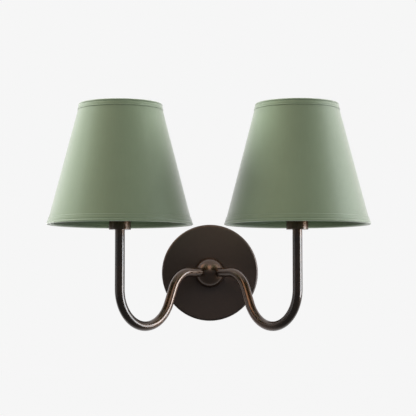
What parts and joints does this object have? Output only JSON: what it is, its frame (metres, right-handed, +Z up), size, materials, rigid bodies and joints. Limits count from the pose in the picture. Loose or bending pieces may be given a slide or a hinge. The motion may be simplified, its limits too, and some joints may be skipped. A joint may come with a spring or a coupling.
{
  "type": "double arm wall sconce",
  "caption": "Wall sconce with a round plate, a ball hub, bent bronze arms and upright fabric cone shades on candle lamp holders.",
  "frame": {"origin": "centre of the mounting strap's back face, on the wall, level with the hub", "axes": "+Y into the wall, so the light stands out towards -Y; +X to the viewer's right; +Z up"},
  "size_m": [0.3938, 0.2496, 0.2772],
  "materials": {
    "bronze": "oil rubbed bronze, satin",
    "zinc_steel": "zinc plated",
    "green_screw": "green passivated",
    "copper": "bare copper",
    "brass": "plain brass",
    "holder_black": "moulded phenolic",
    "shade_fabric": "sage green silk-like weave",
    "trim_fabric": "sage green folded band",
    "lining": "stiff laminate, green",
    "hoop_steel": "drawn wire",
    "wire_black": "wire insulation",
    "wire_white": "wire insulation",
    "connector": "moulded",
    "lamp_glass": "frosted inside",
    "lamp_cap": "pressed"
  },
  "bodies": {
    "fixture": {"mounting_strap": "zinc_steel", "side_screws": "bronze", "ground_screw": "green_screw", "ground_lead": "copper", "back_plate": "bronze", "wire_connectors": "connector", "hub": "bronze", "hub_stud": "zinc_steel", "hub_washer": "zinc_steel", "hub_nut": "zinc_steel", "arm_left": "bronze", "line_lead_left": "wire_black", "neutral_lead_left": "wire_white", "holder_nipple_left": "zinc_steel", "socket_cup_left": "bronze", "cup_nut_left": "zinc_steel", "holder_body_left": "holder_black", "holder_core_left": "holder_black", "screw_shell_left": "brass", "centre_contact_left": "brass", "arm_right": "bronze", "line_lead_right": "wire_black", "neutral_lead_right": "wire_white", "holder_nipple_right": "zinc_steel", "socket_cup_right": "bronze", "cup_nut_right": "zinc_steel", "holder_body_right": "holder_black", "holder_core_right": "holder_black", "screw_shell_right": "brass", "centre_contact_right": "brass"},
    "shade_left": {"fitter_left": "hoop_steel", "bottom_wire_left": "hoop_steel", "top_wire_left": "hoop_steel", "shade_cover_left": "shade_fabric", "shade_lining_left": "lining", "top_trim_left": "trim_fabric", "bottom_trim_left": "trim_fabric"},
    "ring_nut_left": {"shade_nut_left": "holder_black"},
    "lamp_foot_left": {"bulb_foot_left": "lamp_cap"},
    "lamp_left": {"bulb_cap_left": "lamp_cap", "bulb_glass_left": "lamp_glass"},
    "shade_right": {"fitter_right": "hoop_steel", "bottom_wire_right": "hoop_steel", "top_wire_right": "hoop_steel", "shade_cover_right": "shade_fabric", "shade_lining_right": "lining", "top_trim_right": "trim_fabric", "bottom_trim_right": "trim_fabric"},
    "ring_nut_right": {"shade_nut_right": "holder_black"},
    "lamp_foot_right": {"bulb_foot_right": "lamp_cap"},
    "lamp_right": {"bulb_cap_right": "lamp_cap", "bulb_glass_right": "lamp_glass"}
  },
  "joints": [
    {"name": "shade_turn_left", "type": "hinge", "parent": "fixture", "child": "shade_left", "pos_m": [-0.10798, -0.16069, 0.0741], "axis": [0, 0, 1], "continuous": true},
    {"name": "ring_nut_turn_left", "type": "hinge", "parent": "fixture", "child": "ring_nut_left", "pos_m": [-0.10798, -0.16069, 0.0755], "axis": [0, 0, 1], "range_deg": [0, 1170]},
    {"name": "lamp_rise_left", "type": "slide", "parent": "fixture", "child": "lamp_foot_left", "axis": [0, 0, 1], "range_m": [0, 0.0127]},
    {"name": "lamp_turn_left", "type": "hinge", "parent": "lamp_foot_left", "child": "lamp_left", "pos_m": [-0.10798, -0.16069, 0.0701], "axis": [0, 0, 1], "range_deg": [0, 1800]},
    {"name": "shade_turn_right", "type": "hinge", "parent": "fixture", "child": "shade_right", "pos_m": [0.10798, -0.16069, 0.0741], "axis": [0, 0, 1], "continuous": true},
    {"name": "ring_nut_turn_right", "type": "hinge", "parent": "fixture", "child": "ring_nut_right", "pos_m": [0.10798, -0.16069, 0.0755], "axis": [0, 0, 1], "range_deg": [0, 1170]},
    {"name": "lamp_rise_right", "type": "slide", "parent": "fixture", "child": "lamp_foot_right", "axis": [0, 0, 1], "range_m": [0, 0.0127]},
    {"name": "lamp_turn_right", "type": "hinge", "parent": "lamp_foot_right", "child": "lamp_right", "pos_m": [0.10798, -0.16069, 0.0701], "axis": [0, 0, 1], "range_deg": [0, 1800]}
  ],
  "couplings": [
    {"joint": "lamp_rise_left", "follows": "lamp_turn_left", "m_per_rad": 0.00040425},
    {"joint": "lamp_rise_right", "follows": "lamp_turn_right", "m_per_rad": 0.00040425}
  ]
}
